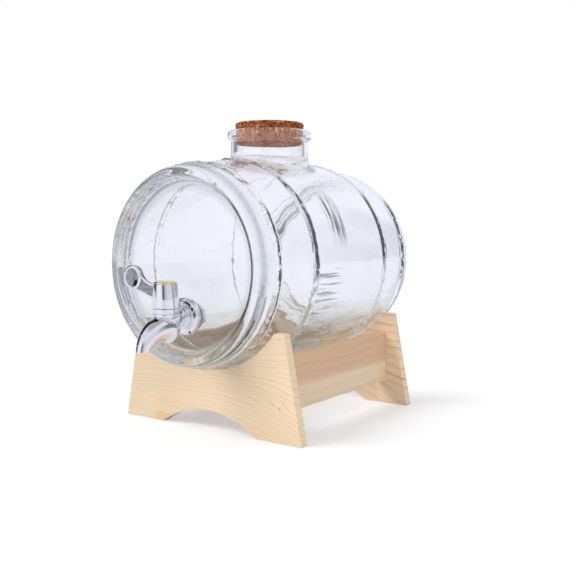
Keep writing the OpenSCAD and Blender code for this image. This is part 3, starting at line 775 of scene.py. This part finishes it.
def cork_stopper():
    bm = bmesh.new()
    tall = CORK_TOP - CORK_LOW
    top_r = CORK_LOW_R + CORK_TAPER * tall
    rows = 22
    side = [(CORK_LOW_R + CORK_TAPER * tall * i / rows, CORK_LOW + tall * i / rows)
            for i in range(2, rows - 1)]
    outline = [(r, CORK_LOW) for r in (0, 8, 15, 21, 25.5)]
    outline += [(CORK_LOW_R - 0.8, CORK_LOW), (CORK_LOW_R, CORK_LOW + 0.8)] + side
    outline += [(top_r, CORK_TOP - 1.0), (top_r - 1.0, CORK_TOP)]
    outline += [(r, CORK_TOP) for r in (27, 24, 20, 15, 10, 5, 0)]
    for v in turned(bm, outline, 156, Matrix.Translation((0, BARREL_Y, 0))):
        out = Vector((v.co.x, v.co.y - BARREL_Y, 0))
        if out.length < 1:
            continue
        pits = noise.voronoi(v.co / 3.4)[0]
        pit = max(0.0, 1 - (pits[1] - pits[0]) / 0.16)
        rough = 0.10 * noise.noise(v.co / 1.4) - 0.22 * pit
        if v.co.z > CORK_TOP - 0.2:
            v.co.z += rough
        elif v.co.z > NECK_TOP + 0.4:
            v.co += out.normalized() * rough
        else:
            v.co += out.normalized() * min(0.0, rough)
    finish_piece(bm, "cork_plug", cork(), "stopper", "cork", "cork_stopper", sharp=60)


# Tap: every chromed piece; the valve's own pieces keep their CAD solids

def tap_place(turn=OUT_OF_HEAD):
    return Matrix.Translation((0, HEAD_Y, TAP_Z)) @ turn


def tower_place(z=TAP_Z):
    return Matrix.Translation((0, TOWER_Y, z))


def swept(bm, rings, sides, place):
    """Extrudes a circle from ring to ring; a ring is (y, z, tilt in degrees, radius)"""
    def seat(ring):
        y, z, tilt, radius = ring
        tilted = Matrix.Rotation(math.radians(tilt), 4, "X")
        return place @ Matrix.Translation((0, y, z)) @ tilted @ OUT_OF_HEAD @ Matrix.Scale(radius, 4)

    made = bmesh.ops.create_circle(bm, cap_ends=True, segments=sides, radius=1, matrix=seat(rings[0]))
    edges = list({e for v in made["verts"] for e in v.link_edges})
    for before, ring in zip(rings, rings[1:]):
        grown = bmesh.ops.extrude_edge_only(bm, edges=edges)["geom"]
        edges = [g for g in grown if isinstance(g, bmesh.types.BMEdge)]
        bmesh.ops.transform(bm, matrix=seat(ring) @ seat(before).inverted(), verts=only_verts(grown))
    bmesh.ops.edgeloop_fill(bm, edges=edges)


def spout_rings():
    """The elbow out to under the tower, the spout's bend, and its rolled mouth"""
    # The elbow is fuller below, so its underside drops by twice the swell and its top stays
    rings = []
    for i in range(14):
        t = i / 14
        ease = step(0, 1, t)
        swell = SWELL * ease
        rings.append((-ELBOW_OUT - (TOWER_OUT - ELBOW_OUT) * t, -DROP * ease - swell, 0,
                      ROOT_R + (ELBOW_R - ROOT_R) * ease + swell))
    for i in range(33):
        t = i / 32
        a = math.radians(SPOUT_TURN * t)
        swell = SWELL * (1 - t) ** 1.4
        bend = BEND_R - swell
        rings.append((-TOWER_OUT - bend * math.sin(a), -DROP - BEND_R + bend * math.cos(a), 90 * t,
                      ELBOW_R - (ELBOW_R - MOUTH_R) * t + swell))
    y, z = rings[-1][:2]
    return rings + [(y, z - 0.25, 90, 5.3), (y, z - 0.35, 90, 4.95), (y, z - 0.25, 90, 4.55), (y, z, 90, 4.4),
                    (y, z + 5, 90, 4.4), (y + 0.3, z + 5.1, 90, 3.8), (y + 2.6, z + 12, 84, 3.6)]


def add_thread(bm, turns=8, steps=36):
    """Winds the shank's thread inwards from the end of the shank"""
    thread = bmesh.new()
    ridge = [thread.verts.new((r, 0, h)) for r, h in ((5.3, -0.62), (6.0, 0), (5.3, 0.62))]
    start = thread.faces.new(ridge)
    end = bmesh.ops.spin(thread, geom=ridge + list(start.edges), cent=(0, 0, 0), axis=(0, 0, 1),
                         angle=2 * math.pi * turns, steps=steps * turns, dvec=(0, 0, THREAD_PITCH / steps))
    thread.faces.new(only_verts(end["geom_last"]))
    added(bm, thread, tap_place() @ Matrix.Translation((0, 0, -SHANK_END)))
    thread.free()


def tap_casting(metal):
    bm = bmesh.new()
    swept(bm, spout_rings(), 64, tap_place(Matrix()))
    # Bead where the elbow meets the dome
    bead_r = 1.3
    bead_out = 8.4
    angles = [math.radians(a) for a in range(0, 181, 20)]
    bead = [(ELBOW_R - bead_r + bead_r * math.sin(a), bead_out - bead_r * math.cos(a)) for a in angles]
    turned(bm, [(0, bead_out - bead_r)] + bead + [(0, bead_out + bead_r)], 72, tap_place())
    collar = eased([(0, 2.4), (10, 2.4), (10, 4.5), (0, 4.5)], [0.5, 0.35], 3)
    turned(bm, collar, 72, tower_place())
    hollow_core = [(0, -DROP), (8.6, -DROP), (8.6, 6.6), (5.65, 6.6), (5.65, 4.6), (0, 4.6)]
    turned(bm, hollow_core, 48, tower_place())
    # Shank through the head, with its bore open at the back
    shank = [(3.5, SHANK_END), (SHANK_R, SHANK_END), (SHANK_R, -7.4), (0, -7.4), (0, 4), (3.5, 4),
             (3.5, SHANK_END)]
    turned(bm, [(r, -h) for r, h in shank], 48, tap_place())
    add_thread(bm)
    finish_piece(bm, "tap_casting", metal, "barrel", "chrome", "tap_body", sharp=40)


def escutcheon(metal):
    bm = bmesh.new()
    dome = eased([(SEAL_R, 7.05), (9.9, 7.1), (13.6, 6.6), (15.0, 4.0), (15.0, 2.1), (14.2, 1.5),
                  (SEAL_R, 1.5)], [1.0, 2.2, 1.6, 0.5, 0.4], 4)
    turned(bm, [(SEAL_R, 1.5)] + dome, 96, tap_place())
    finish_piece(bm, "escutcheon_dome", metal, "barrel", "chrome", "escutcheon")


def bonnet_ring(metal):
    bm = bmesh.new()
    outline = eased([(0, 4.55), (10.0, 4.55), (10.4, 8.4), (0, 8.4)], [0.3, 0.45], 3)
    turned(bm, outline, 84, tower_place())
    finish_piece(bm, "bonnet_collar", metal, "barrel", "chrome", "bonnet_ring")


def lever_outline():
    """The web between the hub and the paddle, across and up from the foot of the hub"""
    top = [bend((-8.4, 16.8), (-22.3, 16.8), (-27.4, 28.5), i / 16) for i in range(17)]
    low = [bend((PADDLE_X, PADDLE_UP - PADDLE_R), (-22.3, 9.97), (-5.1, 2.9), i / 16) for i in range(17)]
    return [Vector((-5.1, 16.8))] + top + [Vector((PADDLE_X, PADDLE_UP))] + low


def add_web(bm, place):
    """Flat web of the lever with a raised rim round each face"""
    old = set(bm.verts)
    face = bm.faces.new([bm.verts.new((p.x, WEB_T / 2, p.y)) for p in lever_outline()])
    grown = bmesh.ops.extrude_face_region(bm, geom=[face])["geom"]
    bmesh.ops.translate(bm, vec=(0, -WEB_T, 0), verts=only_verts(grown))
    faces = {f for v in bm.verts if v not in old for f in v.link_faces}
    sides = [f for f in faces if len(f.verts) > 8]
    bmesh.ops.recalc_face_normals(bm, faces=list(faces))
    bmesh.ops.inset_region(bm, faces=sides, thickness=1.5, depth=0, use_even_offset=True)
    bmesh.ops.inset_region(bm, faces=sides, thickness=0.4, depth=-0.6, use_even_offset=True)
    bmesh.ops.transform(bm, matrix=place, verts=[v for v in bm.verts if v not in old])


def tap_handle(metal):
    bm = bmesh.new()
    place = tower_place(HANDLE_Z)
    hub = eased([(0, 0), (10.5, 0), (9.3, HUB_H), (8.6, HUB_H), (0, HUB_H)], [0.5, 0.45, 0], 3)
    turned(bm, hub, 96, place)
    add_web(bm, place)
    # Round thumb paddle, dished in front
    paddle = eased([(0, -0.9), (4.0, -1.15), (7.2, -2.5), (PADDLE_R, -2.5), (PADDLE_R, 2.5), (0, 2.5)],
                   [2.0, 1.0, 1.5, 1.5], 5)
    turned(bm, paddle, 72, place @ Matrix.Translation((PADDLE_X, 0, PADDLE_UP)) @ ALONG_Y)
    finish_piece(bm, "lever_handle", metal, "handle", "chrome", "tap_handle")


def handle_cap(metal):
    bm = bmesh.new()
    outline = eased([(0, 0.06), (9.0, 0.06), (8.8, 1.6), (5.5, 2.75), (0, 3.0)], [0.25, 0.9, 2.0], 4)
    turned(bm, outline, 96, tower_place(HANDLE_Z + HUB_H))
    finish_piece(bm, "gold_cap", metal, "handle", "gold", "handle_cap")


def shank_ring(name, material, slot, node, outer, near, far, cut):
    """Ring on the tap's shank, between two distances behind the head's outer face"""
    bm = bmesh.new()
    outline = eased([(SEAL_R, near), (outer, near), (outer, far), (SEAL_R, far), (SEAL_R, near)],
                    [cut, cut, cut], 3)
    turned(bm, [(r, -h) for r, h in outline], 72, tap_place())
    finish_piece(bm, name, material, "barrel", slot, node)


def lock_nut(metal):
    bm = bmesh.new()
    corner_r = NUT_FLATS / math.sqrt(3)
    bmesh.ops.create_cone(bm, cap_ends=True, segments=6, radius1=corner_r, radius2=corner_r, depth=5.0,
                          matrix=tap_place() @ Matrix.Translation((0, 0, -10.7)))
    ease_edges(bm, 0.6, 3, 50)
    finish_piece(bm, "hex_nut", metal, "barrel", "chrome", "lock_nut")


# Stand

def board_outline(inner_s):
    """Board with a foot arch and a cradle that fits the barrel at one place along it"""
    cradle = belly(inner_s) + CRADLE_GAP
    arch_r = (ARCH_HALF ** 2 + ARCH_H ** 2) / (2 * ARCH_H)
    arch = math.asin(ARCH_HALF / arch_r)
    horn = math.acos((AXIS_Z - BOARD_H) / cradle)
    points = [(-FOOT_HALF, 0)]
    points += [(arch_r * math.sin(a), ARCH_H - arch_r + arch_r * math.cos(a))
               for a in [arch * (i / 16 - 1) for i in range(33)]]
    points += [(FOOT_HALF, 0), (TOP_HALF, BOARD_H)]
    points += [(cradle * math.sin(a), AXIS_Z - cradle * math.cos(a))
               for a in [horn * (1 - i / 24) for i in range(49)]]
    return points + [(-TOP_HALF, BOARD_H)]


def end_board(name, node, wood, face_s, inner_s):
    bm = bmesh.new()
    face = bm.faces.new([bm.verts.new((x, BARREL_Y + face_s, z)) for x, z in board_outline(inner_s)])
    grown = bmesh.ops.extrude_face_region(bm, geom=[face])["geom"]
    bmesh.ops.translate(bm, vec=(0, BOARD_T, 0), verts=only_verts(grown))
    ease_edges(bm, 0.5, 3, 30, keep=lambda e: max(v.co.z for v in e.verts) > 0.01)
    finish_piece(bm, name, wood, "stand", "pine", node, sharp=50)


def side_rail(name, node, wood):
    low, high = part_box(node)
    bm = bmesh.new()
    size = (high - low) / MM
    middle = (high + low) / 2 / MM
    bmesh.ops.create_cube(bm, size=1, matrix=Matrix.Translation(middle) @ Matrix.Diagonal((*size, 1)))
    ease_edges(bm, 0.5, 3, 40, keep=lambda e: abs(e.verts[0].co.y - e.verts[1].co.y) > 1)
    finish_piece(bm, name, wood, "stand", "rail_pine", node)


def nails(name, node, metal, front):
    """Wire nails driven home through a board, their small heads barely proud of it"""
    low, high = (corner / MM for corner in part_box(node))
    seat = OUT_OF_HEAD if front else ALONG_Y
    bm = bmesh.new()
    outline = [(0, 0.10), (0.5, 0.09), (0.82, 0.03), (NAIL_R, -0.12), (NAIL_R, -26.5), (0, -30)]
    for x in (low.x + NAIL_R, high.x - NAIL_R):
        for z in (low.z + NAIL_R, high.z - NAIL_R):
            turned(bm, outline, 24, Matrix.Translation((x, low.y if front else high.y, z)) @ seat)
    finish_piece(bm, name, metal, "stand", "nail_steel", node, sharp=60)


def coat(node, material):
    """Gives a CAD node its own finish"""
    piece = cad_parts[node]
    piece.data.materials.clear()
    piece.data.materials.append(material)


glass_barrel()
cork_stopper()
bright = chrome("chrome")
tap_casting(bright)
escutcheon(chrome("dome_chrome", dome_painted_reflections))
bonnet_ring(bright)
tap_handle(chrome("handle_chrome", recess_painted_shade))
handle_cap(gold_plate())
lock_nut(bright)
white_silicone = plain("white_silicone", (0.80, 0.80, 0.78), (0.70, 0.70, 0.68), 0.35)
turned_steel = plain("turned_steel", (0.72, 0.72, 0.73), (0.60, 0.60, 0.62), 0.22, 1.0)
shank_ring("outer_seal", white_silicone, "silicone", "outer_gasket", 11.5, -1.5, 0, 0.3)
shank_ring("inner_seal", white_silicone, "silicone", "inner_gasket", 11.5, 5, 7, 0.4)
shank_ring("steel_washer", turned_steel, "steel", "inner_washer", 10.8, 7, 8.2, 0.25)

front_pine = pine("front_pine", (0.97, 0.775, 0.55, 1), (0.83, 0.59, 0.355, 1), (0.92, 0.705, 0.47, 1), 3.2,
                  sweep=2.7, tilt=-0.035, painted_shade_end=(-88, -5, (0.86, 0.865, 0.88, 1)), spots=FRONT_SPOTS)
back_pine = pine("back_pine", (0.95, 0.76, 0.55, 1), (0.70, 0.41, 0.21, 1), (0.87, 0.62, 0.39, 1), 6.5,
                 sweep=2.0, seed=4.0)
rail_pine = pine("rail_pine", (0.92, 0.75, 0.54, 1), (0.73, 0.50, 0.33, 1), (0.84, 0.64, 0.45, 1), 8.5,
                 along="Y", seed=7.0, contrast=0.55, barrel_shade=(37, 43, (0.86, 0.71, 0.64, 1)))
end_board("front_pine_board", "front_board", front_pine, FRONT_S, FRONT_S + BOARD_T)
end_board("back_pine_board", "back_board", back_pine, BACK_S, BACK_S)
side_rail("left_pine_rail", "left_rail", rail_pine)
side_rail("right_pine_rail", "right_rail", rail_pine)

nail_steel = plain("nail_steel", (0.86, 0.68, 0.47), (0.76, 0.58, 0.39), 0.50, 0.1)
nails("front_wire_nails", "front_nails", nail_steel, True)
nails("back_wire_nails", "back_nails", nail_steel, False)
coat("handle_screw", turned_steel)
coat("valve_plug", turned_steel)
coat("thrust_washer", plain("natural_nylon", (0.90, 0.87, 0.78), (0.84, 0.80, 0.70), 0.4))
coat("plug_seal_rings", plain("black_rubber", (0.02, 0.02, 0.02), (0.012, 0.012, 0.012), 0.5))


# Studio: a white paper sweep seen along the camera's way, in a room that is darker at its sides

VIEW_TURN = math.radians(35.65)
STANDS_AT = Vector((0.42203, -0.53666, 0.16715))
LOOKS_AT = Vector((0.01142, 0.03581, 0.10812))
LENS = 50.10
SKY = 0.71
FLOOR_R = 6.0
FLOOR_Z = -0.0003
FLOOR_GLOW = 0.38
FLOOR_COLOUR = (0.62, 0.62, 0.63, 1)
FLOOR_TINT = (0.90, 0.91, 0.99, 1)
FLOOR_LEVEL = -0.08
NEAR_FLOOR_SHADE = (0.85, 0.85, 0.85, 1)
FAR_FLOOR = (0.90, 0.90, 0.90, 1)
ROOM_TINT = (0.93, 0.94, 1.03, 1)
UPPER_ROOM = (0.88, 0.88, 0.88, 1)
FLAG_FOOT = (0.70, 0.70, 0.71, 1)
FLAG_FOOT_BENT = (0.74, 0.74, 0.75, 1)
BLACK_FLAG = (0.03, 0.03, 0.03, 1)
WHITE = (1, 1, 1, 1)

# Grey levels round the room: the left wall at 0, the back at 0.25, the right wall at 0.5, the paper at 0.75
PANELS = (
    (0.0, 0.30), (0.030, 0.60), (0.047, 1.0), (0.170, 1.0), (0.192, 0.50), (0.208, 0.03), (0.222, 0.03),
    (0.238, 0.42), (0.262, 0.46), (0.300, 0.74), (0.42, 0.78), (0.450, 0.45), (0.466, 0.15), (0.488, 0.15),
    (0.500, 0.55), (0.528, 0.55), (0.544, 0.16), (0.589, 0.16), (0.602, 0.50), (0.612, 0.25), (0.638, 0.25),
    (0.656, 1.0), (0.826, 1.0), (0.846, 0.20), (0.866, 0.05), (0.975, 0.05),
)


def room_pattern(nodes, direction, height):
    """Colour of the room in a direction, at a height that is 0 on the horizon and 1 overhead"""
    turn = nodes.add("ShaderNodeTexGradient", {"gradient_type": "RADIAL"}, Vector=direction).outputs["Fac"]
    lean = nodes.product(nodes.axes(direction)["Z"], 0.06)
    turn = nodes.math("FRACT", nodes.total(turn, lean, 1.0))
    pattern = nodes.ramp(turn, *PANELS)
    # All panels end in a grey upper room, the dark flag on the left higher than the others
    beside = nodes.rise(turn, 0.82, 0.84)
    panel_height = nodes.math("SUBTRACT", height, nodes.product(beside, 0.35))
    pattern = nodes.mix(nodes.rise(panel_height, 0.35, 0.62), pattern, UPPER_ROOM)
    # In reflections the flag stops at the height of the object, and is black and wider above it
    flag_foot = nodes.product(beside, nodes.rise(height, 0.06, 0.02))
    flag_top = nodes.product(nodes.rise(turn, 0.775, 0.795), nodes.rise(turn, 0.985, 0.975),
                             nodes.rise(height, 0.03, 0.07))
    mirrored = nodes.mix(flag_top, nodes.mix(flag_foot, pattern, FLAG_FOOT), BLACK_FLAG)
    # Through glass the flag reaches lower, and the whole room is a little softer
    low_foot = nodes.product(beside, nodes.rise(height, -0.01, -0.06))
    bent = nodes.mix(0.22, nodes.mix(low_foot, pattern, FLAG_FOOT_BENT), WHITE)
    through = nodes.add("ShaderNodeLightPath").outputs["Is Transmission Ray"]
    return nodes.mix(through, mirrored, bent)


def studio_floor():
    bm = bmesh.new()
    bmesh.ops.create_circle(bm, cap_ends=True, segments=96, radius=FLOOR_R,
                            matrix=Matrix.Translation((0, 0, FLOOR_Z)))
    mesh = bpy.data.meshes.new("studio_floor")
    bm.to_mesh(mesh)
    bm.free()
    f = Finish("studio_floor")
    path = f.add("ShaderNodeLightPath").outputs
    # Reflections and glass see the room's pattern on the floor away from the object, and painted shade on the
    # floor near it
    direction = f.turned_to(f.place, rotation=(0, 0, -VIEW_TURN))
    from_object = f.add("ShaderNodeVectorMath", {"operation": "LENGTH"}, Vector=f.place).outputs["Value"]
    far = f.mix(0.8, room_pattern(f, direction, FLOOR_LEVEL), FAR_FLOOR)
    level = f.mix(f.rise(from_object, 0.28, 0.42), NEAR_FLOOR_SHADE, far)
    bent = f.math("MAXIMUM", path["Is Transmission Ray"], path["Is Glossy Ray"])
    shade = f.mix(bent, WHITE, f.mix(1.0, level, FLOOR_TINT, "MULTIPLY"))
    plain_ray = f.math("MAXIMUM", path["Is Camera Ray"], bent)
    f.set(Base_Color=f.mix(1.0, FLOOR_COLOUR, shade, "MULTIPLY"), Roughness=1.0, Specular_IOR_Level=0.0,
          Emission_Color=shade, Emission_Strength=f.product(plain_ray, FLOOR_GLOW))
    mesh.materials.append(f.material)
    plane = new_object("studio_floor", mesh)


def sun_lamp(name, comes_from, width, strength):
    data = bpy.data.lights.new(name, "SUN")
    data.angle = math.radians(width)
    data.energy = strength
    light = new_object(name, data)
    light.rotation_mode = "QUATERNION"
    light.rotation_quaternion = (-Vector(comes_from)).to_track_quat("-Z", "Y")
    light.visible_glossy = False
    light.visible_transmission = False


def studio_world():
    """White for the camera, an even sky for the light, and the room for reflections and glass"""
    world = bpy.data.worlds.new("studio")
    bpy.context.scene.world = world
    world.use_nodes = True
    world.node_tree.nodes.clear()
    w = Nodes(world.node_tree)
    direction = w.turned_to(w.add("ShaderNodeTexCoord").outputs["Generated"], rotation=(0, 0, -VIEW_TURN))
    height = w.axes(direction)["Z"]
    walls = room_pattern(w, direction, height)
    ceiling = w.ramp(height, (0.0, 1.0), (0.80, 0.95), (0.92, 0.55), (1.0, 0.50))
    tint = w.mix(1.0, w.mix(1.0, walls, ceiling, "MULTIPLY"), ROOM_TINT, "MULTIPLY")
    room = w.add("ShaderNodeBackground", Color=tint, Strength=1.0)
    white = w.add("ShaderNodeBackground", Color=WHITE, Strength=1.0)
    sky = w.add("ShaderNodeBackground", Color=(0.97, 0.98, 1, 1), Strength=SKY)
    path = w.add("ShaderNodeLightPath").outputs
    shown = room.outputs[0]
    for ray, other in (("Is Diffuse Ray", sky), ("Is Camera Ray", white)):
        choice = w.add("ShaderNodeMixShader", Fac=path[ray])
        w.feed(choice.inputs[1], shown)
        w.feed(choice.inputs[2], other.outputs[0])
        shown = choice.outputs[0]
    w.add("ShaderNodeOutputWorld", Surface=shown)


studio_floor()
studio_world()
sun_lamp("key_lamp", (-0.50, -0.55, 0.70), 32, 1.72)
sun_lamp("fill_lamp", (0.90, -0.30, 0.35), 40, 0.45)

scene = bpy.context.scene
scene.view_settings.view_transform = "Standard"
# Light crosses many walls of glass, and a ray that runs out of bounces leaves a black speck
scene.cycles.max_bounces = 64
scene.cycles.transmission_bounces = 48
scene.cycles.glossy_bounces = 48

camera = new_object("photo_camera", bpy.data.cameras.new("photo_camera"))
camera.data.sensor_width = 36
camera.data.lens = LENS
camera.location = STANDS_AT
camera.rotation_mode = "QUATERNION"
camera.rotation_quaternion = (LOOKS_AT - STANDS_AT).to_track_quat("-Z", "Y")
scene.camera = camera
